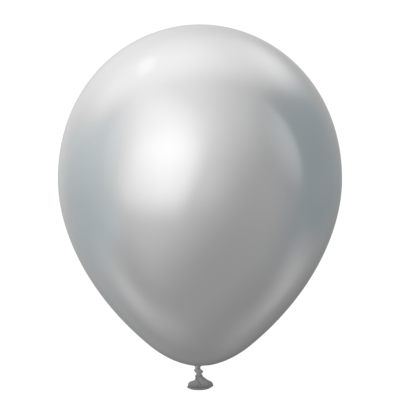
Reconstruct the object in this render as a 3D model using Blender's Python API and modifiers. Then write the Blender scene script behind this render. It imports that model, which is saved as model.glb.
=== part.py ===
"""A chrome-effect latex balloon, inflated and tied, hanging neck down.

Metres, +Z up, front at -Y. The origin is on the body's axis, at the height of
the waist where the gathered neck leaves the inflated body.
"""

import math

import bmesh
import bpy
from mathutils import Matrix, Vector
from mathutils.geometry import interpolate_bezier

MM = 0.001
GAP = 0.3 * MM  # left between pieces that touch

# The inflated body
BODY_RADIUS = 150.0 * MM
CROWN_Z = 362.2 * MM
EQUATOR_Z = 198.7 * MM
BOTTOM_Z = 2.0 * MM
SKIN = 0.4 * MM
CROWN_FLATNESS = 0.505  # handle lengths, as shares of the radius and the height
SHOULDER_FULLNESS = 0.622
FLANK_FULLNESS = 0.331
CONE_POINT = Vector((53.7, 23.6)) * MM  # radius and height on the straight cone
CONE_ANGLE = math.radians(50.4)  # between the cone's side and the axis
CONE_REACH_UP = 89.6 * MM
CONE_REACH_DOWN = 30.8 * MM
BOTTOM_REACH = 3.2 * MM
BODY_STEPS = 48

# The throat, where the body's skin gathers into the neck
NECK_X = -2.4 * MM  # the neck is pulled off the body's axis by the knot
NECK_PULL_RADIUS = 13.0 * MM  # how far out the skin follows it
THROAT_RADIUS = 2.9 * MM
THROAT_FLARE = 5.6 * MM
THROAT_Z = 0.4 * MM

# The twisted stem, from its plug in the throat to the tail
PLUG_RADIUS = THROAT_RADIUS - SKIN - GAP
PLUG_TOP_Z = 3.0 * MM
WAIST_TOP_Z = THROAT_Z - GAP
WAIST_RADIUS = 2.6 * MM
WAIST_BOTTOM_Z = -0.9 * MM
STEM_RADIUS = 1.8 * MM  # where the knot grips it
STEM_FOOT_RADIUS = 2.75 * MM
STEM_BOTTOM_Z = -6.2 * MM
STEM_SIDES = 30
STEM_PLEATS = 5
STEM_TWIST = math.radians(6.3)  # for each millimetre down
STEM_PLEAT_RISE = -0.08

# The knot
KNOT_X = -1.55 * MM
KNOT_Z = -3.65 * MM
KNOT_CORE = Vector((4.0, 3.6, 2.6)) * MM
WRAP_RING = 3.2 * MM
WRAP_ROUND = 1.7 * MM
WRAP_TILT = math.radians(13.0)  # its right side lies lower
CROSS_ROUND = 1.25 * MM
CROSS_RING = Vector((3.6, 3.6)) * MM  # across and towards the front
CROSS_ENDS = (math.radians(201.0), math.radians(-22.0))  # left to right, round the front
CROSS_TOP_Z = 1.6 * MM  # above the knot's middle
CROSS_DROP = 3.5 * MM
CROSS_POINTS = 15

# The loose tail
TAIL_TOP_Z = -6.5 * MM
TAIL_TOP_X = -1.1 * MM
TAIL_SKIN = 0.5 * MM
MOUTH_HALF_WIDTH = 12.8 * MM
MOUTH_HALF_DEPTH = 3.5 * MM
MOUTH_X = 0.3 * MM
MOUTH_LOW_X = -1.0 * MM  # the lowest place of the rim
MOUTH_RISE = 1400.0  # cubic: 1.4 mm up where the rim is 10 mm away from there
TAIL_SIDES = 40
TAIL_PLEATS = 4  # two lobes in front and two behind
MOUTH_PLEAT_RISE = 0.08

# The rolled rim
BEAD_RADIUS = 1.1 * MM
BEAD_LOW_Z = -22.6 * MM
BEAD_POINTS = 48

PARTS = "chrome_latex_balloon"
CUTTERS = "cutters"


def clear_scene():
    for thing in list(bpy.data.objects):
        bpy.data.objects.remove(thing, do_unlink=True)


def new_collection(name):
    made = bpy.data.collections.new(name)
    bpy.context.scene.collection.children.link(made)
    return made


def latex(name, colour, metallic, roughness):
    """A rubber film with a metallic pigment."""
    material = bpy.data.materials.new(name)
    material.use_nodes = True
    shader = material.node_tree.nodes["Principled BSDF"]
    shader.inputs["Base Color"].default_value = (*colour, 1.0)
    shader.inputs["Metallic"].default_value = metallic
    shader.inputs["Roughness"].default_value = roughness
    return material


def new_object(name, mesh, collection, material=None):
    made = bpy.data.objects.new(name, mesh)
    collection.objects.link(made)
    if material:
        mesh.materials.append(material)
    return made


def evaluated_mesh(source):
    """The object's mesh with its modifiers applied, its doubles merged."""
    bpy.context.view_layer.update()
    ready = source.evaluated_get(bpy.context.evaluated_depsgraph_get())
    mesh = bpy.data.meshes.new_from_object(ready)
    work = bmesh.new()
    work.from_mesh(mesh)
    bmesh.ops.remove_doubles(work, verts=work.verts, dist=0.00001)
    work.to_mesh(mesh)
    work.free()
    return mesh


def remove(thing):
    bpy.data.objects.remove(thing, do_unlink=True)


def smooth(mesh):
    mesh.shade_smooth()
    mesh.set_sharp_from_angle(angle=math.radians(50.0))


def ease(share):
    """0 to 1, level at both ends."""
    share = min(max(share, 0.0), 1.0)
    return share * share * (3.0 - 2.0 * share)


def arc(start, start_handle, end_handle, end, count):
    """Points along a cubic curve in the profile's plane, the first left out."""
    flat = [Vector((p[0], p[1], 0.0)) for p in (start, start_handle, end_handle, end)]
    return [(p.x, p.y) for p in interpolate_bezier(*flat, count + 1)[1:]]


def body_profile():
    """Radius and height, from the crown down the outer side to the throat."""
    crown = (0.0, CROWN_Z)
    equator = (BODY_RADIUS, EQUATOR_Z)
    along = Vector((math.sin(CONE_ANGLE), math.cos(CONE_ANGLE)))
    flare = (THROAT_FLARE, BOTTOM_Z)
    throat = (THROAT_RADIUS, THROAT_Z)
    points = [crown]
    points += arc(
        crown,
        (CROWN_FLATNESS * BODY_RADIUS, CROWN_Z),
        (BODY_RADIUS, EQUATOR_Z + SHOULDER_FULLNESS * (CROWN_Z - EQUATOR_Z)),
        equator,
        12,
    )
    points += arc(
        equator,
        (BODY_RADIUS, EQUATOR_Z - FLANK_FULLNESS * BODY_RADIUS),
        CONE_POINT + CONE_REACH_UP * along,
        CONE_POINT,
        9,
    )
    points += arc(
        CONE_POINT,
        CONE_POINT - CONE_REACH_DOWN * along,
        (THROAT_FLARE + BOTTOM_REACH, BOTTOM_Z),
        flare,
        8,
    )
    points += arc(
        flare,
        (THROAT_FLARE - 1.6 * MM, BOTTOM_Z),
        (THROAT_RADIUS, THROAT_Z + 0.5 * MM),
        throat,
        3,
    )
    return points


def turned(name, profile, collection, steps):
    """A profile in the XZ plane, turned about Z into an open surface."""
    mesh = bpy.data.meshes.new(name)
    edges = [(i, i + 1) for i in range(len(profile) - 1)]
    mesh.from_pydata([(r, 0.0, z) for r, z in profile], edges, [])
    made = new_object(name, mesh, collection)
    screw = made.modifiers.new("turn", "SCREW")
    screw.steps = steps
    screw.render_steps = steps
    screw.use_merge_vertices = True
    screw.merge_threshold = 0.00001
    return made


def build_envelope(parts, material):
    """The inflated skin: a turned surface, pulled aside at its throat."""
    outline = turned("envelope_outline", body_profile(), parts, BODY_STEPS)
    mesh = evaluated_mesh(outline)
    remove(outline)
    mesh.name = "envelope"
    for vertex in mesh.vertices:
        radius = math.hypot(vertex.co.x, vertex.co.y)
        if vertex.co.z < CONE_POINT.y and radius < NECK_PULL_RADIUS:
            out = (radius - THROAT_RADIUS) / (NECK_PULL_RADIUS - THROAT_RADIUS)
            vertex.co.x += NECK_X * (1.0 - ease(out))
    smooth(mesh)
    envelope = new_object("envelope", mesh, parts, material)
    wall = envelope.modifiers.new("skin", "SOLIDIFY")
    wall.thickness = SKIN
    wall.offset = -1.0
    return envelope


def ring(centre, half_width, half_depth, sides, pleats, rise, turn=0.0):
    """One level section of a loft, half_width across and with shallow pleats."""
    corners = []
    for i in range(sides):
        angle = 2.0 * math.pi * i / sides
        share = 1.0 + rise * (0.5 - 0.5 * math.cos(pleats * (angle - turn)))
        corners.append((share * math.cos(angle), share * math.sin(angle)))
    widest = max(abs(x) for x, y in corners)
    return [
        centre + Vector((half_width * x / widest, half_depth * y, 0.0))
        for x, y in corners
    ]


def loft(name, rings, close_top=True, close_bottom=True):
    """Quads between rings that run from the top down."""
    work = bmesh.new()
    rows = [[work.verts.new(point) for point in points] for points in rings]
    sides = len(rows[0])
    for upper, lower in zip(rows, rows[1:]):
        for i in range(sides):
            j = (i + 1) % sides
            work.faces.new((upper[i], lower[i], lower[j], upper[j]))
    if close_top:
        work.faces.new(rows[0])
    if close_bottom:
        work.faces.new(list(reversed(rows[-1])))
    mesh = bpy.data.meshes.new(name)
    work.to_mesh(mesh)
    work.free()
    return mesh


def stem_levels():
    """Height, centre and radius of the stem below its waist."""
    waist_x = NECK_X + 0.05 * MM
    return (
        (WAIST_BOTTOM_Z - 0.1 * MM, waist_x, STEM_RADIUS + 0.2 * MM),
        (-3.0 * MM, 0.5 * (waist_x + TAIL_TOP_X), STEM_RADIUS),
        (-4.6 * MM, TAIL_TOP_X - 0.4 * MM, STEM_RADIUS),
        (-5.5 * MM, TAIL_TOP_X - 0.1 * MM, STEM_FOOT_RADIUS - 0.3 * MM),
        (STEM_BOTTOM_Z, TAIL_TOP_X, STEM_FOOT_RADIUS),
    )


def build_neck(parts, material):
    """Gathered latex: a plug in the throat, a waist that shows, and a stem."""
    levels = (
        (PLUG_TOP_Z, NECK_X, 0.55 * PLUG_RADIUS),
        (PLUG_TOP_Z - 0.5 * MM, NECK_X, 0.95 * PLUG_RADIUS),
        (WAIST_TOP_Z, NECK_X, PLUG_RADIUS),
        (WAIST_TOP_Z - 0.06 * MM, NECK_X, WAIST_RADIUS),
        (0.5 * WAIST_BOTTOM_Z, NECK_X, WAIST_RADIUS),
        (WAIST_BOTTOM_Z, NECK_X, WAIST_RADIUS - 0.15 * MM),
        *stem_levels(),
    )
    rings = []
    for height, x, radius in levels:
        turn = STEM_TWIST * (height - PLUG_TOP_Z) / MM
        centre = Vector((x, 0.0, height))
        pleats = (STEM_PLEATS, STEM_PLEAT_RISE, turn)
        rings.append(ring(centre, radius, radius, STEM_SIDES, *pleats))
    mesh = loft("neck", rings)
    smooth(mesh)
    return new_object("neck", mesh, parts, material)


def stem_bore(collection):
    """The stem's shape with a gap all round, longer at both ends."""
    levels = [(x, height, radius + GAP) for height, x, radius in stem_levels()]
    first, last = levels[0], levels[-1]
    levels.insert(0, (first[0], 10.0 * MM, first[2]))
    levels.append((last[0], -20.0 * MM, last[2]))
    rings = [
        ring(Vector((x, 0.0, height)), radius, radius, STEM_SIDES, 0, 0.0)
        for x, height, radius in levels
    ]
    return new_object("stem_bore", loft("stem_bore", rings), collection)


def torus(name, collection, place, large, small, rotation):
    bpy.ops.mesh.primitive_torus_add(
        major_segments=28,
        minor_segments=12,
        major_radius=large,
        minor_radius=small,
        location=place,
        rotation=rotation,
    )
    made = bpy.context.object
    made.name = name
    for owner in list(made.users_collection):
        owner.objects.unlink(made)
    collection.objects.link(made)
    return made


def ellipsoid(name, collection, centre, radii):
    mesh = bpy.data.meshes.new(name)
    work = bmesh.new()
    place = Matrix.Translation(centre) @ Matrix.Diagonal((*radii, 1.0))
    bmesh.ops.create_uvsphere(
        work, u_segments=24, v_segments=14, radius=1.0, matrix=place
    )
    work.to_mesh(mesh)
    work.free()
    return new_object(name, mesh, collection)


def rope(name, collection, points, radius, cyclic=False, tips=1.0):
    """A round bar along points, made a mesh with its caps welded."""
    curve = bpy.data.curves.new(name, "CURVE")
    curve.dimensions = "3D"
    curve.bevel_depth = radius
    curve.bevel_resolution = 3
    curve.use_fill_caps = True
    spline = curve.splines.new("POLY")
    spline.points.add(len(points) - 1)
    last = len(points) - 1
    for i, point in enumerate(points):
        spline.points[i].co = (*point, 1.0)
        if not cyclic:
            inward = ease(min(i, last - i) / (0.3 * last))
            spline.points[i].radius = tips + (1.0 - tips) * inward
    spline.use_cyclic_u = cyclic
    bar = new_object(name + "_path", curve, collection)
    mesh = evaluated_mesh(bar)
    remove(bar)
    mesh.name = name
    return new_object(name, mesh, collection)


def hide_cutter(cutter):
    cutter.hide_render = True
    cutter.display_type = "WIRE"


def combine(target, cutter, operation):
    join = target.modifiers.new(operation.lower(), "BOOLEAN")
    join.operation = operation
    join.object = cutter
    hide_cutter(cutter)


def build_knot(parts, cutters, material):
    """The neck wrapped once round itself, with a roll crossing the front."""
    middle = Vector((KNOT_X, 0.0, KNOT_Z))
    knot = ellipsoid("knot", parts, middle, KNOT_CORE)
    knot.data.materials.append(material)
    wrap = torus(
        "knot_wrap", cutters, middle, WRAP_RING, WRAP_ROUND, (0.0, WRAP_TILT, 0.0)
    )
    combine(knot, wrap, "UNION")

    crossing = []
    for i in range(CROSS_POINTS):
        share = i / (CROSS_POINTS - 1)
        angle = CROSS_ENDS[0] + (CROSS_ENDS[1] - CROSS_ENDS[0]) * share
        across = CROSS_RING.x * math.cos(angle)
        front = -CROSS_RING.y * math.sin(angle)
        height = CROSS_TOP_Z - CROSS_DROP * ease(share)
        crossing.append(middle + Vector((across, front, height)))
    roll = rope("knot_roll", cutters, crossing, CROSS_ROUND, tips=0.6)
    combine(knot, roll, "UNION")

    combine(knot, stem_bore(cutters), "DIFFERENCE")
    return knot


def mouth_lift(x):
    """How far the rim at x lies above its lowest place."""
    return MOUTH_RISE * abs(x - MOUTH_LOW_X) ** 3


def build_tail(parts, material):
    """A flattened funnel of loose latex, gathered at the knot."""
    edge_z = BEAD_LOW_Z + BEAD_RADIUS + GAP
    top_x = TAIL_TOP_X / MM
    mouth = (MOUTH_X / MM, MOUTH_HALF_WIDTH / MM, MOUTH_HALF_DEPTH / MM)
    # Base height, centre x, half width and half depth in mm, then the pleats' rise,
    # their twist in degrees, and the section's share of the rim's lift
    sections = (
        (TAIL_TOP_Z / MM, top_x, 2.3, 2.0, 0.00, -150, 0.0),
        (-6.9, top_x, 2.8, 2.4, 0.05, -145, 0.0),
        (-7.7, top_x, 3.6, 2.7, 0.10, -130, 0.0),
        (-8.6, top_x, 4.1, 2.8, 0.15, -115, 0.0),
        (-9.8, -0.7, 4.2, 2.7, 0.22, -95, 0.0),
        (-11.2, 0.4, 5.2, 2.7, 0.28, -72, 0.0),
        (-12.8, 1.2, 6.7, 2.8, 0.32, -45, 0.0),
        (-13.9, 1.4, 8.6, 2.9, 0.32, -28, 0.0),
        (-14.9, 0.9, 10.6, 3.0, 0.30, -16, 0.1),
        (-17.0, 0.8, 12.1, 3.2, 0.24, -5, 0.3),
        (-19.2, 0.6, 12.8, 3.3, 0.15, 0, 0.6),
        (edge_z / MM, *mouth, MOUTH_PLEAT_RISE, 0, 1.0),
    )
    rings = []
    for height, x, width, depth, rise, twist, lift in sections:
        centre = Vector((x, 0.0, height)) * MM
        pleats = (TAIL_PLEATS, rise, math.radians(twist))
        points = ring(centre, width * MM, depth * MM, TAIL_SIDES, *pleats)
        for point in points:
            point.z += lift * mouth_lift(point.x)
        rings.append(points)
    mesh = loft("tail", rings, close_bottom=False)
    smooth(mesh)
    tail = new_object("tail", mesh, parts, material)
    wall = tail.modifiers.new("skin", "SOLIDIFY")
    wall.thickness = TAIL_SKIN
    wall.offset = -1.0
    return tail


def build_lip_bead(parts, material):
    """The rolled rim, a round cord of latex all round the mouth."""
    centre = Vector((MOUTH_X, 0.0, BEAD_LOW_Z))
    half_size = (MOUTH_HALF_WIDTH, MOUTH_HALF_DEPTH)
    points = ring(centre, *half_size, BEAD_POINTS, TAIL_PLEATS, MOUTH_PLEAT_RISE)
    for point in points:
        point.z += mouth_lift(point.x)
    bead = rope("lip_bead", parts, points, BEAD_RADIUS, cyclic=True)
    bead.data.materials.append(material)
    smooth(bead.data)
    return bead


clear_scene()
parts_collection = new_collection(PARTS)
cutter_collection = new_collection(CUTTERS)
stretched = latex("stretched_latex", (0.58, 0.6, 0.6), 1.0, 0.2)
relaxed = latex("relaxed_latex", (0.25, 0.255, 0.26), 1.0, 0.42)
build_envelope(parts_collection, stretched)
build_neck(parts_collection, relaxed)
build_knot(parts_collection, cutter_collection, relaxed)
build_tail(parts_collection, relaxed)
build_lip_bead(parts_collection, relaxed)
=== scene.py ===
import math

import bmesh
import bpy
from mathutils import Matrix, Vector, noise


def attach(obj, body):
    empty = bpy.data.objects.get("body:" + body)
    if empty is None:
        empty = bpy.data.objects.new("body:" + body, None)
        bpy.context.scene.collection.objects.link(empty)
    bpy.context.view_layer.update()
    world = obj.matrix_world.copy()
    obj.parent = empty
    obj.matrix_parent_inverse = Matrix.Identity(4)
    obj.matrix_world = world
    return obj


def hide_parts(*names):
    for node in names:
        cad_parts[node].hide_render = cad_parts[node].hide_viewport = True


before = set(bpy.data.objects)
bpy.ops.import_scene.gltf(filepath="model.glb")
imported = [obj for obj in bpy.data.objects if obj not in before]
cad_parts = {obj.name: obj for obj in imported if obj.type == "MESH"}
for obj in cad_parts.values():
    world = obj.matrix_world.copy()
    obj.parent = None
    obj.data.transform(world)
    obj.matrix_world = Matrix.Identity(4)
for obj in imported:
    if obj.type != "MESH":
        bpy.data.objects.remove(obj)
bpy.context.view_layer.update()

# ENVELOPE
# The inflated body: natural latex with a chrome-effect pigment, dipped on a mould and
# blown up until it is a film. It is thickest at the crown and where it gathers into
# the throat.

MM = 0.001
BODY_RADIUS = 150.0 * MM
CROWN_Z = 362.2 * MM
EQUATOR_Z = 198.7 * MM
CONE_RADIUS = 53.7 * MM
CONE_Z = 23.6 * MM
CONE_ANGLE = math.radians(50.4)
NECK_X = -2.4 * MM
NECK_PULL_RADIUS = 13.0 * MM
THROAT_RADIUS = 2.9 * MM
THROAT_Z = 0.1 * MM
FLARE_WIDTH = 2.8 * MM
FLARE_HEIGHT = 1.9 * MM
# How far the profile's handles reach. The first three are shares of the radius or rise.
CROWN_FLATNESS = 0.505
SHOULDER_FULLNESS = 0.622
FLANK_FULLNESS = 0.331
CONE_REACH_UP = 89.6 * MM
CONE_REACH_DOWN = 30.8 * MM
FLARE_REACH_OUT = 3.2 * MM
FLARE_REACH_IN = 1.6 * MM
THROAT_REACH = 0.9 * MM
FILM = 0.15 * MM
PLEATS = 9.0
PLEAT_WANDER = 0.9
PLEAT_TWIST = math.radians(14.0) / MM
THROAT_PLEAT_DEPTH = 0.25 * MM
THROAT_PLEAT_REACH = 10.0 * MM
THROAT_PLEAT_TURN = 3.0 * MM
ENVELOPE_ROWS = 150
ENVELOPE_COLUMNS = 220
# The shares of the rows at which the shoulder, flank, bottom and throat begin and end
ROW_SHARES = (0.0, 0.40, 0.70, 0.92, 1.0)
CURVE_STEPS = 64
WELD_DISTANCE = 0.002 * MM
SHARP_ANGLE = math.radians(60.0)
STRETCHED_SILVER = (0.60, 0.60, 0.60)
STRETCHED_METALLIC = 1.0
STRETCHED_ROUGHNESS = 0.15
TIED_SILVER = (0.28, 0.28, 0.28)
TIED_METALLIC = 0.5
TIED_ROUGHNESS = 0.5
# Where the skin thickens: from the first radius or height of a pair to the second
THROAT_THICK_RADII = (6.5 * MM, 2.5 * MM)
THROAT_THICK_HEIGHTS = (40.0 * MM, 20.0 * MM)
CROWN_THICK_RADII = (14.0 * MM, 3.0 * MM)
CROWN_THICK_HEIGHTS = (CROWN_Z - 10.0 * MM, CROWN_Z - 5.0 * MM)
CROWN_THICKENING = 0.25


def add_node(tree, kind, **settings):
    node = tree.nodes.new(kind)
    for name, value in settings.items():
        setattr(node, name, value)
    return node


def feed(tree, socket, value):
    """Links a socket to an input, or sets the input's own value."""
    if isinstance(value, bpy.types.NodeSocket):
        tree.links.new(value, socket)
    else:
        socket.default_value = value


def calc(tree, operation, *values):
    node = add_node(tree, "ShaderNodeMath", operation=operation)
    for socket, value in zip(node.inputs, values):
        feed(tree, socket, value)
    return node.outputs[0]


def vector(tree, x, y, z):
    node = add_node(tree, "ShaderNodeCombineXYZ")
    for socket, value in zip(node.inputs, (x, y, z)):
        feed(tree, socket, value)
    return node.outputs[0]


def split(tree, value):
    node = add_node(tree, "ShaderNodeSeparateXYZ")
    feed(tree, node.inputs[0], value)
    return node.outputs


def fade(tree, value, start, end, low=0.0, high=1.0):
    """low at start, high at end, level at both."""
    node = add_node(tree, "ShaderNodeMapRange", interpolation_type="SMOOTHSTEP")
    for name, given in (
        ("Value", value),
        ("From Min", start),
        ("From Max", end),
        ("To Min", low),
        ("To Max", high),
    ):
        feed(tree, node.inputs[name], given)
    return node.outputs["Result"]


def blend_colours(tree, factor, first, second):
    """The first colour where the factor is 0 and the second where it is 1."""
    node = add_node(tree, "ShaderNodeMix", data_type="RGBA")
    feed(tree, node.inputs["Factor"], factor)
    for socket, colour in ((node.inputs[6], first), (node.inputs[7], second)):
        is_socket = isinstance(colour, bpy.types.NodeSocket)
        feed(tree, socket, colour if is_socket else (*colour, 1.0))
    return node.outputs[2]


def group_socket(tree, name, kind, direction="INPUT", default=None):
    socket = tree.interface.new_socket(name, in_out=direction, socket_type=kind)
    if default is not None:
        socket.default_value = default


def latex_skin_group():
    """The clouding, pigment grain and fine skin texture that all the latex shares."""
    group = bpy.data.node_groups.new("latex_skin", "ShaderNodeTree")
    number = "NodeSocketFloat"
    group_socket(group, "Colour", "NodeSocketColor", default=(0.5, 0.5, 0.5, 1.0))
    group_socket(group, "Roughness", number, default=0.2)
    group_socket(group, "Cloud Size", number, default=50.0 * MM)
    group_socket(group, "Cloud Depth", number, default=0.03)
    group_socket(group, "Cloud Roughness", number, default=0.06)
    group_socket(group, "Grain Size", number, default=0.6 * MM)
    group_socket(group, "Grain Depth", number, default=0.03)
    group_socket(group, "Skin Height", number, default=0.01 * MM)
    group_socket(group, "Colour", "NodeSocketColor", "OUTPUT")
    group_socket(group, "Roughness", number, "OUTPUT")
    group_socket(group, "Normal", "NodeSocketVector", "OUTPUT")
    given = add_node(group, "NodeGroupInput").outputs
    place = add_node(group, "ShaderNodeTexCoord").outputs["Object"]

    def texture(size, detail):
        node = add_node(group, "ShaderNodeTexNoise")
        feed(group, node.inputs["Vector"], place)
        feed(group, node.inputs["Scale"], calc(group, "DIVIDE", 1.0, size))
        feed(group, node.inputs["Detail"], detail)
        return calc(group, "SUBTRACT", node.outputs["Fac"], 0.5)

    clouds = texture(given["Cloud Size"], detail=2.0)
    grain = texture(given["Grain Size"], detail=1.0)
    cloud_shade = calc(group, "MULTIPLY", clouds, given["Cloud Depth"])
    shade = calc(group, "MULTIPLY_ADD", grain, given["Grain Depth"], cloud_shade)
    tint = add_node(group, "ShaderNodeVectorMath", operation="SCALE")
    feed(group, tint.inputs[0], given["Colour"])
    feed(group, tint.inputs["Scale"], calc(group, "ADD", 1.0, shade))
    rough = calc(group, "MULTIPLY_ADD", clouds, given["Cloud Roughness"], given["Roughness"])
    bump = add_node(group, "ShaderNodeBump")
    feed(group, bump.inputs["Strength"], 1.0)
    feed(group, bump.inputs["Distance"], given["Skin Height"])
    feed(group, bump.inputs["Height"], grain)
    out = add_node(group, "NodeGroupOutput").inputs
    feed(group, out["Colour"], tint.outputs[0])
    feed(group, out["Roughness"], rough)
    feed(group, out["Normal"], bump.outputs["Normal"])
    return group


latex_skin = latex_skin_group()


def latex_material(name, metallic, settings):
    """A Principled shader fed by the shared skin group. Returns material and group."""
    material = bpy.data.materials.new(name)
    material.use_nodes = True
    tree = material.node_tree
    shader = tree.nodes["Principled BSDF"]
    shader.inputs["Metallic"].default_value = metallic
    skin = add_node(tree, "ShaderNodeGroup", node_tree=latex_skin)
    for label, value in settings.items():
        skin.inputs[label].default_value = value
    feed(tree, shader.inputs["Base Color"], skin.outputs["Colour"])
    feed(tree, shader.inputs["Roughness"], skin.outputs["Roughness"])
    feed(tree, shader.inputs["Normal"], skin.outputs["Normal"])
    return material, skin


def stretched_latex():
    """Bright where the film is stretched, darker where it thickens at both ends. Towards
    the throat it turns as satin as the neck."""
    material, skin = latex_material(
        "stretched_chrome_latex",
        STRETCHED_METALLIC,
        {
            "Roughness": STRETCHED_ROUGHNESS,
            "Cloud Size": 60.0 * MM,
            "Cloud Depth": 0.03,
            "Grain Size": 0.8 * MM,
            "Grain Depth": 0.02,
            "Skin Height": 0.004 * MM,
        },
    )
    tree = material.node_tree
    x, y, z = split(tree, add_node(tree, "ShaderNodeTexCoord").outputs["Object"])
    out = calc(tree, "SQRT", calc(tree, "MULTIPLY_ADD", x, x, calc(tree, "MULTIPLY", y, y)))
    near_throat = fade(tree, out, *THROAT_THICK_RADII)
    low = fade(tree, z, *THROAT_THICK_HEIGHTS)
    at_throat = calc(tree, "MULTIPLY", near_throat, low)
    near_crown = fade(tree, out, *CROWN_THICK_RADII, 0.0, CROWN_THICKENING)
    high = fade(tree, z, *CROWN_THICK_HEIGHTS)
    thick = calc(tree, "MULTIPLY_ADD", near_crown, high, at_throat)
    colour = blend_colours(tree, thick, STRETCHED_SILVER, TIED_SILVER)
    feed(tree, skin.inputs["Colour"], colour)
    for socket, stretched, tied in (
        (skin.inputs["Roughness"], STRETCHED_ROUGHNESS, TIED_ROUGHNESS),
        (tree.nodes["Principled BSDF"].inputs["Metallic"], STRETCHED_METALLIC, TIED_METALLIC),
    ):
        change = tied - stretched
        feed(tree, socket, calc(tree, "MULTIPLY_ADD", at_throat, change, stretched))
    return material


def dress_and_put_out(tree, geometry, latex, label):
    """The tree's end: smooth shading, real instances, and the latex on them."""
    for kind in (
        "GeometryNodeSetShadeSmooth",
        "GeometryNodeRealizeInstances",
        "GeometryNodeSetMaterial",
    ):
        node = add_node(tree, kind)
        feed(tree, node.inputs["Geometry"], geometry)
        geometry = node.outputs[0]
    feed(tree, node.inputs["Material"], latex)
    feed(tree, add_node(tree, "NodeGroupOutput").inputs[label], geometry)


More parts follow.
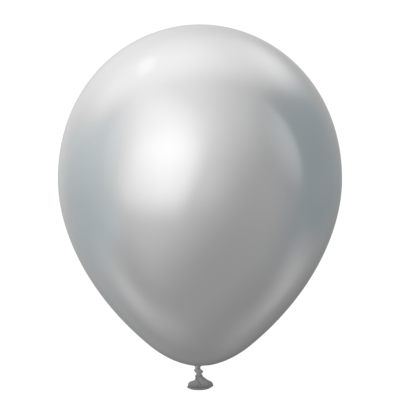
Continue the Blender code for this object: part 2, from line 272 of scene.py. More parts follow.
def body_tree():
    """A grid rolled round the axis along the body's profile, gathered at its throat."""
    tree = bpy.data.node_groups.new("inflated_body", "GeometryNodeTree")
    for name, value in (
        ("Body Radius", BODY_RADIUS),
        ("Top Height", CROWN_Z),
        ("Equator Height", EQUATOR_Z),
        ("Top Flatness", CROWN_FLATNESS),
        ("Shoulder Fullness", SHOULDER_FULLNESS),
        ("Flank Fullness", FLANK_FULLNESS),
        ("Cone Radius", CONE_RADIUS),
        ("Cone Height", CONE_Z),
        ("Cone Angle", CONE_ANGLE),
        ("Cone Reach Up", CONE_REACH_UP),
        ("Cone Reach Down", CONE_REACH_DOWN),
        ("Flare Width", FLARE_WIDTH),
        ("Flare Height", FLARE_HEIGHT),
        ("Flare Reach Out", FLARE_REACH_OUT),
        ("Flare Reach In", FLARE_REACH_IN),
        ("Throat Radius", THROAT_RADIUS),
        ("Throat Height", THROAT_Z),
        ("Throat Reach", THROAT_REACH),
        ("Neck Shift", NECK_X),
        ("Neck Pull Radius", NECK_PULL_RADIUS),
        ("Pleats", PLEATS),
        ("Pleat Wander", PLEAT_WANDER),
        ("Pleat Twist", PLEAT_TWIST),
        ("Pleat Depth", THROAT_PLEAT_DEPTH),
        ("Pleat Reach", THROAT_PLEAT_REACH),
        ("Pleat Turn", THROAT_PLEAT_TURN),
    ):
        group_socket(tree, name, "NodeSocketFloat", default=value)
    group_socket(tree, "Rows", "NodeSocketInt", default=ENVELOPE_ROWS)
    group_socket(tree, "Columns", "NodeSocketInt", default=ENVELOPE_COLUMNS)
    group_socket(tree, "Latex", "NodeSocketMaterial")
    group_socket(tree, "Body", "NodeSocketGeometry", "OUTPUT")
    given = add_node(tree, "NodeGroupInput").outputs
    radius, crown, equator = given["Body Radius"], given["Top Height"], given["Equator Height"]
    cone_r, cone_z = given["Cone Radius"], given["Cone Height"]
    cone_out = calc(tree, "SINE", given["Cone Angle"])
    cone_up = calc(tree, "COSINE", given["Cone Angle"])
    throat_r, throat_z = given["Throat Radius"], given["Throat Height"]
    flare_r = calc(tree, "ADD", throat_r, given["Flare Width"])
    flare_z = calc(tree, "ADD", throat_z, given["Flare Height"])

    def profile_point(r, z):
        return vector(tree, r, 0.0, z)

    def along_cone(distance):
        r = calc(tree, "MULTIPLY_ADD", cone_out, distance, cone_r)
        return profile_point(r, calc(tree, "MULTIPLY_ADD", cone_up, distance, cone_z))

    rise = calc(tree, "SUBTRACT", crown, equator)
    level_out = calc(tree, "MULTIPLY", radius, given["Top Flatness"])
    upright_z = calc(tree, "MULTIPLY_ADD", rise, given["Shoulder Fullness"], equator)
    flank_drop = calc(tree, "MULTIPLY", radius, given["Flank Fullness"])
    down_cone = calc(tree, "MULTIPLY", given["Cone Reach Down"], -1.0)
    shoulder = (
        profile_point(0.0, crown),
        profile_point(level_out, crown),
        profile_point(radius, upright_z),
        profile_point(radius, equator),
    )
    flank = (
        profile_point(radius, equator),
        profile_point(radius, calc(tree, "SUBTRACT", equator, flank_drop)),
        along_cone(given["Cone Reach Up"]),
        along_cone(0.0),
    )
    bottom = (
        along_cone(0.0),
        along_cone(down_cone),
        profile_point(calc(tree, "ADD", flare_r, given["Flare Reach Out"]), flare_z),
        profile_point(flare_r, flare_z),
    )
    throat = (
        profile_point(flare_r, flare_z),
        profile_point(calc(tree, "SUBTRACT", flare_r, given["Flare Reach In"]), flare_z),
        profile_point(throat_r, calc(tree, "ADD", throat_z, given["Throat Reach"])),
        profile_point(throat_r, throat_z),
    )

    grid = add_node(tree, "GeometryNodeMeshGrid")
    feed(tree, grid.inputs["Vertices X"], given["Rows"])
    feed(tree, grid.inputs["Vertices Y"], calc(tree, "ADD", given["Columns"], 1.0))
    # The grid is 1 m square about the origin: its X is the way down, its Y the way round
    flat = split(tree, add_node(tree, "GeometryNodeInputPosition").outputs[0])
    down = calc(tree, "ADD", flat["X"], 0.5)
    angle = calc(tree, "MULTIPLY_ADD", flat["Y"], 2.0 * math.pi, math.pi)

    profile = None
    curves = (shoulder, flank, bottom, throat)
    for curve_points, first, last in zip(curves, ROW_SHARES, ROW_SHARES[1:]):
        segment = add_node(tree, "GeometryNodeCurvePrimitiveBezierSegment")
        feed(tree, segment.inputs["Resolution"], CURVE_STEPS)
        for label, point in zip(("Start", "Start Handle", "End Handle", "End"), curve_points):
            feed(tree, segment.inputs[label], point)
        sample = add_node(tree, "GeometryNodeSampleCurve", mode="FACTOR")
        feed(tree, sample.inputs["Curves"], segment.outputs[0])
        share = add_node(tree, "ShaderNodeMapRange")
        feed(tree, share.inputs["Value"], down)
        feed(tree, share.inputs["From Min"], first)
        feed(tree, share.inputs["From Max"], last)
        feed(tree, sample.inputs["Factor"], share.outputs["Result"])
        if profile is None:
            profile = sample.outputs["Position"]
        else:
            switch = add_node(tree, "GeometryNodeSwitch", input_type="VECTOR")
            feed(tree, switch.inputs["Switch"], calc(tree, "GREATER_THAN", down, first))
            feed(tree, switch.inputs["False"], profile)
            feed(tree, switch.inputs["True"], sample.outputs["Position"])
            profile = switch.outputs[0]

    on_profile = split(tree, profile)
    r, z = on_profile["X"], on_profile["Z"]
    beyond = calc(tree, "SUBTRACT", r, throat_r)
    reach = calc(tree, "DIVIDE", beyond, given["Pleat Reach"])
    is_low = calc(tree, "LESS_THAN", z, cone_z)
    near = calc(tree, "MULTIPLY", fade(tree, reach, 0.0, 1.0, 1.0, 0.0), is_low)
    near = calc(tree, "MULTIPLY", near, near)
    turned = calc(tree, "MULTIPLY_ADD", z, given["Pleat Twist"], angle)
    swing = calc(tree, "SINE", calc(tree, "MULTIPLY", turned, 2.0))
    wander = calc(tree, "MULTIPLY", swing, given["Pleat Wander"])
    ripple = calc(tree, "MULTIPLY_ADD", turned, given["Pleats"], wander)
    fold = calc(tree, "ABSOLUTE", calc(tree, "SINE", calc(tree, "MULTIPLY", ripple, 0.5)))
    crease = calc(tree, "SUBTRACT", fold, 1.0)
    depth = calc(tree, "MULTIPLY", calc(tree, "MULTIPLY", given["Pleat Depth"], near), crease)
    # A crease sinks into the body: inwards at the throat, and up where the skin is level
    steep = fade(tree, beyond, 0.0, given["Pleat Turn"], 1.0, 0.0)
    r_gathered = calc(tree, "MULTIPLY_ADD", depth, steep, r)
    level = calc(tree, "SUBTRACT", 1.0, steep)
    z_gathered = calc(tree, "MULTIPLY_ADD", calc(tree, "MULTIPLY", depth, level), -1.0, z)
    pull_span = calc(tree, "SUBTRACT", given["Neck Pull Radius"], throat_r)
    pull = fade(tree, calc(tree, "DIVIDE", beyond, pull_span), 0.0, 1.0, 1.0, 0.0)
    shift = calc(tree, "MULTIPLY", calc(tree, "MULTIPLY", pull, is_low), given["Neck Shift"])
    placed = vector(
        tree,
        calc(tree, "MULTIPLY_ADD", r_gathered, calc(tree, "COSINE", angle), shift),
        calc(tree, "MULTIPLY", r_gathered, calc(tree, "SINE", angle)),
        z_gathered,
    )
    move = add_node(tree, "GeometryNodeSetPosition")
    feed(tree, move.inputs["Geometry"], grid.outputs["Mesh"])
    feed(tree, move.inputs["Position"], placed)
    weld = add_node(tree, "GeometryNodeMergeByDistance")
    feed(tree, weld.inputs["Geometry"], move.outputs[0])
    feed(tree, weld.inputs["Distance"], WELD_DISTANCE)
    dress_and_put_out(tree, weld.outputs[0], given["Latex"], "Body")
    return tree


def new_piece(name, mesh):
    piece = bpy.data.objects.new(name, mesh)
    bpy.context.scene.collection.objects.link(piece)
    return piece


def set_input(modifier, name, value):
    """Sets a Geometry Nodes input by its socket's identifier."""
    for item in modifier.node_group.interface.items_tree:
        if item.item_type == "SOCKET" and item.in_out == "INPUT" and item.name == name:
            modifier[item.identifier] = value


def apply_modifiers(piece):
    """Gives the piece its evaluated mesh and takes its modifiers off."""
    bpy.context.view_layer.update()
    ready = piece.evaluated_get(bpy.context.evaluated_depsgraph_get())
    mesh = bpy.data.meshes.new_from_object(ready)
    piece.modifiers.clear()
    piece.data = mesh


def face_outwards(mesh):
    work = bmesh.new()
    work.from_mesh(mesh)
    bmesh.ops.recalc_face_normals(work, faces=work.faces)
    work.to_mesh(mesh)
    work.free()


def add_wall(piece, thickness):
    wall = piece.modifiers.new("wall", "SOLIDIFY")
    wall.thickness = thickness
    wall.offset = -1.0
    apply_modifiers(piece)


envelope = new_piece("inflated_envelope", bpy.data.meshes.new("inflated_envelope"))
blown = envelope.modifiers.new("body", "NODES")
blown.node_group = body_tree()
set_input(blown, "Latex", stretched_latex())
apply_modifiers(envelope)
face_outwards(envelope.data)
add_wall(envelope, FILM)
envelope.data.set_sharp_from_angle(angle=SHARP_ANGLE)
envelope.visible_glossy = False
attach(envelope, "root")
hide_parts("envelope")

# NECK
# Below the body the skin isn't stretched. It is squeezed into a stem and twisted, so
# it is thick, darker and creased into fine pleats that spiral down into the knot.

SLACK_SILVER = (0.21, 0.21, 0.21)
# The last silver is painted shade: the tail darkens towards its mouth and onto the bead
RIM_PAINTED_SHADE = (0.16, 0.16, 0.16)
# The heights between which the tied silver turns to the slack one, and that to the painted
# shade towards the mouth
SLACK_HEIGHTS = (-5.5 * MM, -9.5 * MM)
RIM_SHADE_HEIGHTS = (-17.0 * MM, -21.5 * MM)


def relaxed_latex_material():
    """Lighter where the knot pulls it tight and darker in the loose tail, with shade painted
    darker still towards the mouth, where the tail meets the bead, and on the bead.
    """
    material, skin = latex_material(
        "relaxed_chrome_latex",
        TIED_METALLIC,
        {
            "Roughness": TIED_ROUGHNESS,
            "Cloud Size": 6.0 * MM,
            "Cloud Depth": 0.06,
            "Grain Size": 0.3 * MM,
            "Grain Depth": 0.03,
            "Skin Height": 0.003 * MM,
        },
    )
    tree = material.node_tree
    z = split(tree, add_node(tree, "ShaderNodeTexCoord").outputs["Object"])["Z"]
    colour = TIED_SILVER
    # The second blend paints shade, darker from the lower tail down to the bead
    for heights, darker in ((SLACK_HEIGHTS, SLACK_SILVER), (RIM_SHADE_HEIGHTS, RIM_PAINTED_SHADE)):
        colour = blend_colours(tree, fade(tree, z, *heights), colour, darker)
    feed(tree, skin.inputs["Colour"], colour)
    return material


relaxed_latex = relaxed_latex_material()


def smooth_rows(rows, count):
    """Rows of numbers, drawn out to count rows along a smooth curve through them."""
    drawn = []
    last = len(rows) - 1
    for i in range(count):
        along = last * i / (count - 1)
        k = min(int(along), last - 1)
        t = along - k
        before, here, after, beyond = (
            rows[max(k - 1, 0)],
            rows[k],
            rows[k + 1],
            rows[min(k + 2, last)],
        )
        drawn.append(
            [
                0.5
                * (
                    2.0 * b
                    + (c - a) * t
                    + (2.0 * a - 5.0 * b + 4.0 * c - d) * t * t
                    + (3.0 * b - a - 3.0 * c + d) * t * t * t
                )
                for a, b, c, d in zip(before, here, after, beyond)
            ]
        )
    return drawn


def add_skin(work, rings, scale, close_top, close_bottom):
    """Quads between closed rings of points, with the ends capped if asked."""
    rows = [[work.verts.new(Vector(point) * scale) for point in ring] for ring in rings]
    sides = len(rows[0])
    for upper, lower in zip(rows, rows[1:]):
        for i in range(sides):
            j = (i + 1) % sides
            work.faces.new((upper[i], lower[i], lower[j], upper[j]))
    for wanted, row in ((close_top, rows[0]), (close_bottom, rows[-1])):
        if wanted:
            work.faces.new(row)


def outward_mesh(work, name):
    """The finished bmesh as a mesh with its faces pointing outwards."""
    bmesh.ops.recalc_face_normals(work, faces=work.faces)
    mesh = bpy.data.meshes.new(name)
    work.to_mesh(mesh)
    work.free()
    return mesh


def skin_of(name, rings, close_top, close_bottom):
    """A smooth mesh in metres along rings of points in mm."""
    work = bmesh.new()
    add_skin(work, rings, MM, close_top, close_bottom)
    mesh = outward_mesh(work, name)
    mesh.shade_smooth()
    return mesh


# From here to the rim, shapes are drawn in mm, and only their meshes are in metres.
STEM_SIDES = 144
STEM_ROWS = 90
SHOULDER_Z = THROAT_Z / MM - 0.02
# Height, centre x, radius and pleat depth, from the plug in the throat down
PLUG_FORM = (
    (1.6, -2.40, 2.00, 0.00),
    (SHOULDER_Z + 0.05, -2.40, 2.10, 0.00),
    (SHOULDER_Z, -2.40, 2.85, 0.22),
)
STEM_FORM = (
    (SHOULDER_Z, -2.40, 2.90, 0.25),
    (-0.4, -2.35, 2.80, 0.25),
    (-0.9, -2.30, 2.80, 0.25),
    (-2.0, -2.10, 2.60, 0.30),
    (-3.6, -1.70, 2.20, 0.25),
    (-5.0, -1.30, 2.40, 0.25),
    (-6.2, -1.10, 2.75, 0.30),
    (-7.2, -1.10, 2.40, 0.25),
)


def pleat(turned):
    """0 in a crease and 1 on the crest between two creases."""
    ripple = PLEATS * turned + PLEAT_WANDER * math.sin(2.0 * turned)
    return abs(math.sin(0.5 * ripple))


stem_rings = []
for height, centre_x, radius, depth in (*PLUG_FORM, *smooth_rows(STEM_FORM, STEM_ROWS)):
    stem_ring = []
    for i in range(STEM_SIDES):
        angle = 2.0 * math.pi * i / STEM_SIDES
        out = radius - depth * (1.0 - pleat(angle + PLEAT_TWIST * height * MM))
        stem_ring.append((centre_x + out * math.cos(angle), out * math.sin(angle), height))
    stem_rings.append(stem_ring)
stem_skin = skin_of("twisted_neck", stem_rings, close_top=True, close_bottom=True)
neck = new_piece("twisted_neck", stem_skin)
neck.data.materials.append(relaxed_latex)
neck.data.set_sharp_from_angle(angle=SHARP_ANGLE)
neck.visible_glossy = False
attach(neck, "root")
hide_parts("neck")

# KNOT
# The neck is wound once round itself, its end is pushed through the turn, and it is
# pulled tight. The rolls press into each other, and the folds run along them.

ROLL_SIDES = 56
ROLL_STEPS = 150
ROLL_FOLDS = 6
ROLL_FOLD_DEPTH = 0.08
ROLL_FOLD_WANDER = 1.1
ROLL_TWIST = 2.0 * math.pi * 0.7
ROLL_TIP = 0.25
ROLL_TIP_START = 0.12
# Path points of the turn: x, y, z and the roll's radius
KNOT_TURN = (
    (-2.6, 1.2, -1.6, 1.30),
    (-4.3, 1.4, -2.2, 1.55),
    (-4.75, -0.6, -2.8, 1.75),
    (-3.2, -2.9, -3.1, 1.75),
    (-0.9, -3.3, -3.7, 1.75),
    (1.1, -2.1, -4.3, 1.75),
    (1.75, 0.1, -4.4, 1.70),
    (0.9, 2.3, -4.0, 1.65),
    (-1.3, 3.2, -3.8, 1.60),
    (-3.3, 2.2, -4.0, 1.50),
    (-4.0, 0.3, -4.5, 1.35),
    (-3.2, -1.4, -5.0, 1.20),
    (-1.9, -1.6, -5.4, 1.00),
)
KNOT_CORE_MIDDLE = (-1.7, 0.0, -3.3)
KNOT_CORE_RADII = (3.3, 2.9, 2.7)
KNOT_VOXEL = 0.14


def roll_rings(path):
    """Rings of a creased roll along a path of x, y, z and radius, with closed tips."""
    spine = smooth_rows(path, ROLL_STEPS)
    points = [Vector(row[:3]) for row in spine]
    last = ROLL_STEPS - 1
    rings = []
    side = Vector((0.0, 0.0, 1.0))
    for k, point in enumerate(points):
        ahead = points[min(k + 1, last)] - points[max(k - 1, 0)]
        ahead.normalize()
        side = (side - ahead * side.dot(ahead)).normalized()
        across = ahead.cross(side)
        tip = min(1.0, min(k, last - k) / last / ROLL_TIP + ROLL_TIP_START)
        radius = spine[k][3] * math.sin(0.5 * math.pi * tip)
        ring = []
        for i in range(ROLL_SIDES):
            angle = 2.0 * math.pi * i / ROLL_SIDES
            turned = angle + ROLL_TWIST * k / last
            wander = ROLL_FOLD_WANDER * math.sin(3.0 * turned)
            fold = abs(math.sin(0.5 * (ROLL_FOLDS * turned + wander)))
            out = radius * (1.0 - ROLL_FOLD_DEPTH * (1.0 - fold))
            ring.append(point + side * out * math.cos(angle) + across * out * math.sin(angle))
        rings.append(ring)
    return rings


def tied_knot():
    """The roll and its core in one lump of latex, remeshed so that they press together."""
    lump = bmesh.new()
    add_skin(lump, roll_rings(KNOT_TURN), 1.0, close_top=True, close_bottom=True)
    core = Matrix.Translation(KNOT_CORE_MIDDLE) @ Matrix.Diagonal((*KNOT_CORE_RADII, 1.0))
    bmesh.ops.create_uvsphere(lump, u_segments=48, v_segments=32, radius=1.0, matrix=core)
    piece = new_piece("tied_knot", outward_mesh(lump, "knot_lump"))
    merge = piece.modifiers.new("merge", "REMESH")
    merge.mode = "VOXEL"
    merge.voxel_size = KNOT_VOXEL
    merge.use_smooth_shade = True
    relax = piece.modifiers.new("relax", "SMOOTH")
    relax.factor = 0.5
    relax.iterations = 3
    apply_modifiers(piece)
    for vertex in piece.data.vertices:
        vertex.co *= MM
    piece.data.shade_smooth()
    return piece


knot = tied_knot()
knot.data.materials.append(relaxed_latex)
knot.visible_glossy = False
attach(knot, "root")
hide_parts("knot")

# TAIL
# What is left of the neck below the knot: a soft flattened funnel, pleated where it
# comes out of the knot and opening to a mouth. Its front folds into two lobes.

TAIL_SKIN = 0.35 * MM
TAIL_SIDES = 240
TAIL_ROWS = 120
# Base height, centre x, half width and half depth, the x where the front folds over
# itself and how much, the same for the back, and the section's share of the rim's lift
TAIL_FORM = (
    (-5.6, -1.1, 2.0, 1.8, -3.0, 0.0, 2.0, 0.0, 0.0),
    (-6.5, -1.1, 2.6, 2.3, -3.0, 0.0, 2.0, 0.0, 0.0),
    (-7.7, -1.1, 3.6, 2.9, -3.2, 0.1, 2.0, 0.1, 0.0),
    (-8.7, -1.1, 4.1, 3.1, -3.6, 0.3, 1.9, 0.3, 0.0),
    (-9.8, -0.7, 4.3, 3.1, -4.1, 0.8, 1.7, 0.6, 0.0),
    (-11.2, 0.4, 5.3, 3.2, -4.3, 1.1, 1.4, 0.9, 0.0),
    (-12.8, 1.2, 6.7, 3.5, -3.4, 1.2, 0.8, 1.0, 0.0),
    (-13.9, 1.3, 8.7, 3.9, -2.4, 1.1, 0.0, 1.0, 0.0),
    (-14.9, 0.65, 10.95, 4.1, -1.5, 1.0, -1.2, 1.0, 0.1),
    (-17.0, 0.35, 12.65, 4.3, 0.2, 0.7, -4.0, 0.7, 0.3),
    (-19.2, 0.4, 13.2, 4.0, 1.8, 0.1, -7.0, 0.1, 0.45),
    (-20.6, 0.4, 13.1, 3.6, 3.0, 0.0, -8.0, 0.0, 0.75),
    (-21.4, 0.3, 12.95, 3.4, 4.0, 0.0, -8.5, 0.0, 0.9),
    (-22.2, 0.3, 12.7, 3.3, 4.4, 0.0, -9.0, 0.0, 1.0),
)
MOUTH_LOW_X = -1.0
MOUTH_RISE = 0.0014  # cubic: 1.4 mm up where the rim is 10 mm away from there
GATHER_DEPTH = 0.12  # of the pleats that come out of the knot, as a share of the radius
GATHER_HEIGHTS = (-12.0, -7.5)  # none at the first, full at the second
FLATNESS = 0.35  # 0 leaves a section an ellipse
FLAT_HEIGHTS = (-11.0, -16.0)
FOLD_STEP = 0.9  # how far the skin stands out before a fold and sinks in past it
FOLD_REACH = 4.0  # about how far to either side it does so
FOLD_EDGES = (-0.9, 0.9)  # where the step begins and ends
FOLD_START = (0.0, 0.5)  # shares of the half depth between which a fold sets in
# The fine folds fan out from a point in the knot, so they are read by direction. They
# change slowly down the skin, and none reaches the knot or the rim.
FINE_FOLD_DEPTH = 0.3
FINE_FOLD_SCALES = (0.28, 0.3, 0.08)
FINE_FOLD_TOP = (-7.0, -13.0)
FINE_FOLD_FOOT = (-21.0, -18.0)
FINE_FOLD_SEED = Vector((3.7, 1.9, 0.0))
FAN_Z = -3.0
FAN_LENGTH = 19.0
FAN_LEAST = 0.3
FINE_FOLD_SIDEWAYS = 0.15


def eased(value, start, end):
    """0 at start and 1 at end, level at both."""
    share = min(max((value - start) / (end - start), 0.0), 1.0)
    return share * share * (3.0 - 2.0 * share)


def mouth_lift(x):
    return MOUTH_RISE * abs(x - MOUTH_LOW_X) ** 3


def overlap(past):
    """How far the skin stands out near a fold that lies over what is past it."""
    bulge = FOLD_STEP * math.exp(-((past / FOLD_REACH) ** 2))
    return bulge - 2.0 * bulge * eased(past, *FOLD_EDGES)


def tail_ring(height, centre_x, half_width, half_depth, front_x, front, back_x, back, lift):
    """One section of the funnel: pleated at the knot, with a fold in front and behind."""
    gathered = GATHER_DEPTH * eased(height, *GATHER_HEIGHTS)
    flattened = 1.0 - FLATNESS * eased(height, *FLAT_HEIGHTS)
    corners = []
    for i in range(TAIL_SIDES):
        angle = 2.0 * math.pi * i / TAIL_SIDES
        turned = angle + PLEAT_TWIST * height * MM
        share = 1.0 - gathered * (1.0 - pleat(turned))
        corners.append((share * math.cos(angle), share * math.sin(angle)))
    widest = max(abs(x) for x, y in corners)
    ring = []
    for x, y in corners:
        out = math.copysign(abs(y) ** flattened, y)
        place = Vector((centre_x + half_width * x / widest, half_depth * out, height))
        set_in = eased(abs(y), *FOLD_START)
        if y < 0.0:
            place.y -= front * overlap(place.x - front_x) * set_in
        else:
            place.y += back * overlap(back_x - place.x) * set_in
        place.z += lift * mouth_lift(place.x)
        ring.append(place)
    return ring


def fine_fold(point):
    """How far the fine folds move a point of the tail's skin, and which way."""
    across, deep, down = FINE_FOLD_SCALES
    spread = max(FAN_LEAST, (FAN_Z - point.z) / FAN_LENGTH)
    read = Vector((point.x / spread * across, point.y * deep, point.z * down))
    free = eased(point.z, *FINE_FOLD_TOP) * eased(point.z, *FINE_FOLD_FOOT)
    outward = Vector((FINE_FOLD_SIDEWAYS * point.x, point.y, 0.0)).normalized()
    return outward * FINE_FOLD_DEPTH * noise.noise(read + FINE_FOLD_SEED) * free


tail_rings = [tail_ring(*row) for row in smooth_rows(TAIL_FORM, TAIL_ROWS)]
for ring in tail_rings:
    for point in ring:
        point += fine_fold(point)
funnel = skin_of("flared_tail", tail_rings, close_top=True, close_bottom=False)
tail = new_piece("flared_tail", funnel)
tail.data.materials.append(relaxed_latex)
tail.visible_glossy = False
add_wall(tail, TAIL_SKIN)
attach(tail, "root")
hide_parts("tail")

# LIP BEAD
# The rim of the mouth, which the maker rolls up on itself before the latex cures. It
# is a soft cord of many turns of film, a little uneven, that holds the mouth open.

BEAD_RADIUS = 1.1 * MM
BEAD_UNEVENNESS = 0.10
BEAD_LUMPS = 260.0
BEAD_POINTS = 240
BEAD_SIDES = 32
MOUTH_Z = -22.6  # the bead's middle at its lowest place
MOUTH_X = 0.3
MOUTH_HALF_WIDTH = 12.8
MOUTH_HALF_DEPTH = 3.5
NO_FOLD = (0.0, 0.0)


def bead_tree():
    """A round cord along a closed rim, its thickness varying a little."""
    tree = bpy.data.node_groups.new("rolled_rim", "GeometryNodeTree")
    group_socket(tree, "Rim", "NodeSocketGeometry")
    group_socket(tree, "Radius", "NodeSocketFloat", default=BEAD_RADIUS)
    group_socket(tree, "Unevenness", "NodeSocketFloat", default=BEAD_UNEVENNESS)
    group_socket(tree, "Lumps", "NodeSocketFloat", default=BEAD_LUMPS)
    group_socket(tree, "Points", "NodeSocketInt", default=BEAD_POINTS)
    group_socket(tree, "Sides", "NodeSocketInt", default=BEAD_SIDES)
    group_socket(tree, "Latex", "NodeSocketMaterial")
    group_socket(tree, "Bead", "NodeSocketGeometry", "OUTPUT")
    given = add_node(tree, "NodeGroupInput").outputs
    path = add_node(tree, "GeometryNodeMeshToCurve")
    feed(tree, path.inputs["Mesh"], given["Rim"])
    even = add_node(tree, "GeometryNodeResampleCurve")
    feed(tree, even.inputs["Curve"], path.outputs[0])
    feed(tree, even.inputs["Count"], given["Points"])
    lumps = add_node(tree, "ShaderNodeTexNoise", noise_dimensions="3D")
    feed(tree, lumps.inputs["Scale"], given["Lumps"])
    feed(tree, lumps.inputs["Detail"], 1.0)
    off = calc(tree, "MULTIPLY", calc(tree, "SUBTRACT", lumps.outputs["Fac"], 0.5), 2.0)
    swell = calc(tree, "MULTIPLY_ADD", off, given["Unevenness"], 1.0)
    size = add_node(tree, "GeometryNodeSetCurveRadius")
    feed(tree, size.inputs["Curve"], even.outputs[0])
    feed(tree, size.inputs["Radius"], calc(tree, "MULTIPLY", swell, given["Radius"]))
    section = add_node(tree, "GeometryNodeCurvePrimitiveCircle", mode="RADIUS")
    feed(tree, section.inputs["Resolution"], given["Sides"])
    feed(tree, section.inputs["Radius"], 1.0)
    cord = add_node(tree, "GeometryNodeCurveToMesh")
    feed(tree, cord.inputs["Curve"], size.outputs[0])
    feed(tree, cord.inputs["Profile Curve"], section.outputs[0])
    feed(tree, cord.inputs["Scale"], add_node(tree, "GeometryNodeInputRadius").outputs[0])
    dress_and_put_out(tree, cord.outputs[0], given["Latex"], "Bead")
    return tree


rim_ring = tail_ring(
    MOUTH_Z, MOUTH_X, MOUTH_HALF_WIDTH, MOUTH_HALF_DEPTH, *NO_FOLD, *NO_FOLD, lift=1.0
)
rim_mesh = bpy.data.meshes.new("rolled_lip")
rim_edges = [(i, (i + 1) % TAIL_SIDES) for i in range(TAIL_SIDES)]
rim_mesh.from_pydata([point * MM for point in rim_ring], rim_edges, [])
lip = new_piece("rolled_lip", rim_mesh)
rolled = lip.modifiers.new("roll", "NODES")
rolled.node_group = bead_tree()
# The bead takes the darkest silver of the relaxed latex, which is painted shade
set_input(rolled, "Latex", relaxed_latex)
apply_modifiers(lip)
lip.visible_glossy = False
face_outwards(lip.data)
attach(lip, "root")
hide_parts("lip_bead")

# STUDIO
# The balloon hangs in front of plain white, over a pale floor that is far below. Soft
# boxes and dark cards stand all round and show only in its skin. The camera is
# straight in front.

CAMERA_Y = -3.0
CAMERA_Z = 0.1769
FRAME_WIDTH = 0.4225
SENSOR_WIDTH = 36.0
CAMERA_REACH = 100.0
FLOOR_Z = -0.6
FLOOR_RADIUS = 6.0
FLOOR_FADE = (1.0, 5.0)
PALE = (0.9, 0.9, 0.9)

camera = bpy.data.objects.new("camera", bpy.data.cameras.new("camera"))
bpy.context.scene.collection.objects.link(camera)
bpy.context.scene.camera = camera
camera.location = (0.0, CAMERA_Y, CAMERA_Z)
camera.rotation_euler = (math.radians(90.0), 0.0, 0.0)
camera.data.sensor_width = SENSOR_WIDTH
camera.data.lens = camera.data.sensor_width * -CAMERA_Y / FRAME_WIDTH
camera.data.clip_end = CAMERA_REACH

floor_mesh = bpy.data.meshes.new("floor")
disc = bmesh.new()
below_balloon = Matrix.Translation((0.0, 0.0, FLOOR_Z))
bmesh.ops.create_circle(
    disc, cap_ends=True, segments=96, radius=FLOOR_RADIUS, matrix=below_balloon
)
disc.to_mesh(floor_mesh)
disc.free()
floor = new_piece("floor", floor_mesh)
floor.visible_glossy = False
floor_paint = bpy.data.materials.new("pale_floor")
floor_paint.use_nodes = True
paint_tree = floor_paint.node_tree
paint = paint_tree.nodes["Principled BSDF"]
paint.inputs["Base Color"].default_value = (*PALE, 1.0)
paint.inputs["Roughness"].default_value = 1.0
paint.inputs["Specular IOR Level"].default_value = 0.0
floor_place = add_node(paint_tree, "ShaderNodeTexCoord").outputs["Object"]
floor_out = add_node(paint_tree, "ShaderNodeVectorMath", operation="LENGTH")
feed(paint_tree, floor_out.inputs[0], floor_place)
cover = fade(paint_tree, floor_out.outputs["Value"], *FLOOR_FADE, 1.0, 0.0)
feed(paint_tree, paint.inputs["Alpha"], cover)
floor_mesh.materials.append(floor_paint)

# Azimuths run from the front towards +X, and angles are in degrees. A glow has no edge.
GLOW_INPUTS = ("Azimuth", "Elevation", "Roll", "Half Width", "Half Height")
BOX_INPUTS = (*GLOW_INPUTS, "Edge")
PANEL_INPUTS = (
    "Azimuth",
    "Left",
    "Right",
    "Low",
    "High",
    "Left Lean",
    "Right Lean",
    "Low Slope",
    "High Slope",
    "Right Bow",
    "Left Softness",
    "Right Softness",
    "End Softness",
)
LEAST_AHEAD = 0.001
BOW_ELEVATION = 45.0


def light_group(name, labels):
    """A new group that turns a direction into a light's mask. Returns it and its inputs."""
    group = bpy.data.node_groups.new(name, "ShaderNodeTree")
    group_socket(group, "Direction", "NodeSocketVector")
    for label in labels:
        group_socket(group, label, "NodeSocketFloat")
    group_socket(group, "Mask", "NodeSocketFloat", "OUTPUT")
    return group, add_node(group, "NodeGroupInput").outputs


def turned_by(group, seen, axis, degrees, sign):
    turn = add_node(group, "ShaderNodeVectorRotate", rotation_type=axis)
    feed(group, turn.inputs["Vector"], seen)
    angle = calc(group, "MULTIPLY", degrees, math.radians(sign))
    feed(group, turn.inputs["Angle"], angle)
    return turn.outputs[0]


def soft_light_group(is_box):
    """How far a direction falls inside a soft box, or near the middle of a soft glow."""
    if is_box:
        group, given = light_group("soft_box", BOX_INPUTS)
    else:
        group, given = light_group("soft_glow", GLOW_INPUTS)
    seen = given["Direction"]
    turns = (("Z_AXIS", "Azimuth", -1.0), ("X_AXIS", "Elevation", 1.0), ("Y_AXIS", "Roll", 1.0))
    for axis, label, sign in turns:
        seen = turned_by(group, seen, axis, given[label], sign)
    x, y, z = split(group, seen)
    ahead = calc(group, "MAXIMUM", calc(group, "MULTIPLY", y, -1.0), LEAST_AHEAD)
    masks = []
    for offset, label in ((x, "Half Width"), (z, "Half Height")):
        off = calc(group, "DIVIDE", calc(group, "ABSOLUTE", offset), ahead)
        if is_box:
            edge = calc(group, "MULTIPLY", given["Edge"], 0.5)
            outer = calc(group, "ADD", given[label], edge)
            inner = calc(group, "SUBTRACT", given[label], edge)
            masks.append(fade(group, off, outer, inner))
        else:
            share = calc(group, "DIVIDE", off, given[label])
            masks.append(calc(group, "MULTIPLY", share, share))
    if is_box:
        mask = calc(group, "MULTIPLY", *masks)
    else:
        both = calc(group, "ADD", *masks)
        mask = calc(group, "EXPONENT", calc(group, "MULTIPLY", both, -1.0))
    feed(group, add_node(group, "NodeGroupOutput").inputs["Mask"], mask)
    return group


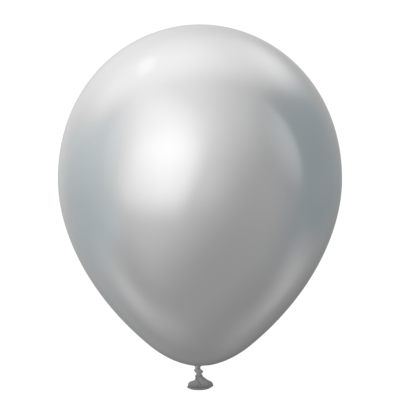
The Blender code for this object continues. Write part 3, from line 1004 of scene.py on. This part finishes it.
def panel_group():
    """How far a direction falls inside a panel with leaning edges and a bowed right one."""
    group, given = light_group("shaped_panel", PANEL_INPUTS)
    seen = turned_by(group, given["Direction"], "Z_AXIS", given["Azimuth"], -1.0)
    x, y, z = split(group, seen)
    across = calc(group, "ARCTAN2", x, calc(group, "MULTIPLY", y, -1.0))
    across = calc(group, "DEGREES", across)
    up = calc(group, "DEGREES", calc(group, "ARCSINE", z))
    share_up = calc(group, "DIVIDE", up, BOW_ELEVATION)
    bowed = calc(group, "MULTIPLY", share_up, share_up)

    def inside(place, place_sign, edge, lean, along, softness, bow=None):
        """1 where place is within the edge, which leans along the other direction."""
        edge_at = calc(group, "MULTIPLY_ADD", given[lean], along, given[edge])
        if bow:
            pulled_in = calc(group, "MULTIPLY", given[bow], bowed)
            edge_at = calc(group, "SUBTRACT", edge_at, pulled_in)
        within = calc(group, "MULTIPLY_ADD", place, place_sign, edge_at)
        half = calc(group, "MULTIPLY", given[softness], 0.5)
        return fade(group, within, calc(group, "MULTIPLY", half, -1.0), half)

    mask, *edge_masks = (
        inside(across, 1.0, "Left", "Left Lean", up, "Left Softness"),
        inside(across, -1.0, "Right", "Right Lean", up, "Right Softness", "Right Bow"),
        inside(up, 1.0, "Low", "Low Slope", across, "End Softness"),
        inside(up, -1.0, "High", "High Slope", across, "End Softness"),
    )
    for edge_mask in edge_masks:
        mask = calc(group, "MULTIPLY", mask, edge_mask)
    feed(group, add_node(group, "NodeGroupOutput").inputs["Mask"], mask)
    return group


# Half widths, half heights and edges are tangents, and what isn't given is 0. The light
# that each adds comes last: it is linear, and one number where it is neutral. A dark
# card takes light away.
SOFT_BOXES = {
    "overhead": (
        {"Azimuth": 200, "Elevation": 63, "Roll": -20},
        {"Half Width": 1.2, "Half Height": 0.55, "Edge": 1.2},
        0.50,
    ),
    "key": (
        {"Azimuth": -43, "Elevation": 17, "Roll": -20},
        {"Half Width": 0.62, "Half Height": 0.65, "Edge": 0.8},
        0.30,
    ),
    "spot": (
        {"Azimuth": -119, "Elevation": 58, "Roll": 10},
        {"Half Width": 0.14, "Half Height": 0.08, "Edge": 0.05},
        0.16,
    ),
    "low dark card": (
        {"Azimuth": 155, "Elevation": -50},
        {"Half Width": 0.8, "Half Height": 0.7, "Edge": 1.2},
        -0.11,
    ),
}
SOFT_GLOWS = {
    "over left": (
        {"Azimuth": -85, "Elevation": 50},
        {"Half Width": 1.65, "Half Height": 1.1},
        0.30,
    ),
    "front": (
        {"Azimuth": -8, "Elevation": 45, "Roll": 5},
        {"Half Width": 1.05, "Half Height": 1.6},
        0.37,
    ),
    "key core": (
        {"Azimuth": -28, "Elevation": -10, "Roll": 55},
        {"Half Width": 1.8, "Half Height": 0.6},
        0.22,
    ),
    "back left": (
        {"Azimuth": -165, "Elevation": 15},
        {"Half Width": 0.5, "Half Height": 0.35},
        0.43,
    ),
    "low left": (
        {"Azimuth": -112, "Elevation": -57},
        {"Half Width": 0.15, "Half Height": 0.4},
        0.16,
    ),
    "low right": (
        {"Azimuth": 127, "Elevation": -47},
        {"Half Width": 0.2, "Half Height": 0.35},
        0.13,
    ),
    "low front": (
        {"Azimuth": -35, "Elevation": -27},
        {"Half Width": 1.7, "Half Height": 0.45},
        0.13,
    ),
    "band's end": (
        {"Azimuth": 135, "Elevation": 42},
        {"Half Width": 0.35, "Half Height": 0.2},
        0.18,
    ),
    "rim's dark card": (
        {"Azimuth": 176, "Elevation": -10},
        {"Half Width": 0.5, "Half Height": 0.5},
        -0.28,
    ),
}
PANELS = {
    "left panel": (
        {"Azimuth": -110, "Left": 40, "Right": 35, "Low": 32, "High": 20},
        {"Left Lean": 0.6, "High Slope": 0.4},
        {"Left Softness": 70, "Right Softness": 20, "End Softness": 15},
        (0.08, 0.14, 0.17),
    ),
    "strip": (
        {"Azimuth": 75, "Left": 10, "Right": 15, "Low": -5, "High": 40},
        {"Low Slope": 0.4, "High Slope": 0.4, "Right Bow": 15},
        {"Left Softness": 30, "Right Softness": 6, "End Softness": 25},
        0.21,
    ),
    "key's face": (
        {"Azimuth": -35, "Left": 30, "Right": 30, "Low": 23, "High": 25},
        {"Left Lean": -0.5, "Right Lean": 0.4, "Low Slope": 0.1, "High Slope": -0.1},
        {"Left Softness": 30, "Right Softness": 15, "End Softness": 25},
        0.24,
    ),
    "dark card": (
        {"Azimuth": 120, "Left": 45, "Right": 30, "Low": 22, "High": 42},
        {"Left Lean": 0.3, "Right Lean": -0.5, "Low Slope": -0.5},
        {"Left Softness": 50, "Right Softness": 35, "End Softness": 25},
        (-0.15, -0.10, -0.08),
    ),
    "low right streak": (
        {"Azimuth": 115, "Left": 16, "Right": 33, "Low": 40, "High": -25},
        {"Left Lean": 0.1, "Right Lean": 0.3, "High Slope": -0.15},
        {"Left Softness": 25, "Right Softness": 12, "End Softness": 25},
        0.15,
    ),
    "low left streak": (
        {"Azimuth": -110, "Left": 22, "Right": 5, "Low": 49, "High": -31},
        {"Right Lean": -0.5, "Low Slope": -0.4},
        {"Left Softness": 25, "Right Softness": 25, "End Softness": 25},
        0.17,
    ),
}
GROUND_LIGHT = (0.48, 0.48, 0.48)
HORIZON_LIGHT = (0.56, 0.56, 0.56)
SKY_LIGHT = (0.63, 0.63, 0.63)
# Sines of the elevations between which one of them turns to the next
GROUND_TO_HORIZON = (-0.95, 0.0)
HORIZON_TO_SKY = (0.0, 0.9)
BACKDROP_WHITE = (1.0, 1.0, 1.0)
BACKDROP_STRENGTH = 1.05

world = bpy.data.worlds.new("studio")
bpy.context.scene.world = world
world.use_nodes = True
world.cycles.sampling_method = "MANUAL"
world.cycles.sample_map_resolution = 256
studio = world.node_tree
studio.nodes.clear()
direction = add_node(studio, "ShaderNodeTexCoord").outputs["Generated"]


def with_lights(light, group, lights):
    """The light so far with each named light added, or each dark card taken away."""
    for name, (*settings, added) in lights.items():
        node = add_node(studio, "ShaderNodeGroup", node_tree=group, label=name)
        feed(studio, node.inputs["Direction"], direction)
        for values in settings:
            for label, value in values.items():
                node.inputs[label].default_value = value
        mask = node.outputs["Mask"]
        lit = add_node(studio, "ShaderNodeVectorMath", operation="MULTIPLY_ADD")
        feed(studio, lit.inputs[0], vector(studio, mask, mask, mask))
        lit.inputs[1].default_value = added if isinstance(added, tuple) else (added,) * 3
        feed(studio, lit.inputs[2], light)
        light = lit.outputs[0]
    return light


up = split(studio, direction)["Z"]
below = blend_colours(studio, fade(studio, up, *GROUND_TO_HORIZON), GROUND_LIGHT, HORIZON_LIGHT)
light = blend_colours(studio, fade(studio, up, *HORIZON_TO_SKY), below, SKY_LIGHT)
light = with_lights(light, soft_light_group(True), SOFT_BOXES)
light = with_lights(light, soft_light_group(False), SOFT_GLOWS)
light = with_lights(light, panel_group(), PANELS)
no_less = add_node(studio, "ShaderNodeVectorMath", operation="MAXIMUM")
feed(studio, no_less.inputs[0], light)
no_less.inputs[1].default_value = (0.0, 0.0, 0.0)

backdrop = add_node(studio, "ShaderNodeBackground")
backdrop.inputs["Color"].default_value = (*BACKDROP_WHITE, 1.0)
backdrop.inputs["Strength"].default_value = BACKDROP_STRENGTH
around = add_node(studio, "ShaderNodeBackground")
feed(studio, around.inputs["Color"], no_less.outputs[0])
choose = add_node(studio, "ShaderNodeMixShader")
feed(studio, choose.inputs[0], add_node(studio, "ShaderNodeLightPath").outputs["Is Camera Ray"])
feed(studio, choose.inputs[1], around.outputs[0])
feed(studio, choose.inputs[2], backdrop.outputs[0])
feed(studio, add_node(studio, "ShaderNodeOutputWorld").inputs["Surface"], choose.outputs[0])

bpy.context.scene.view_settings.view_transform = "Standard"
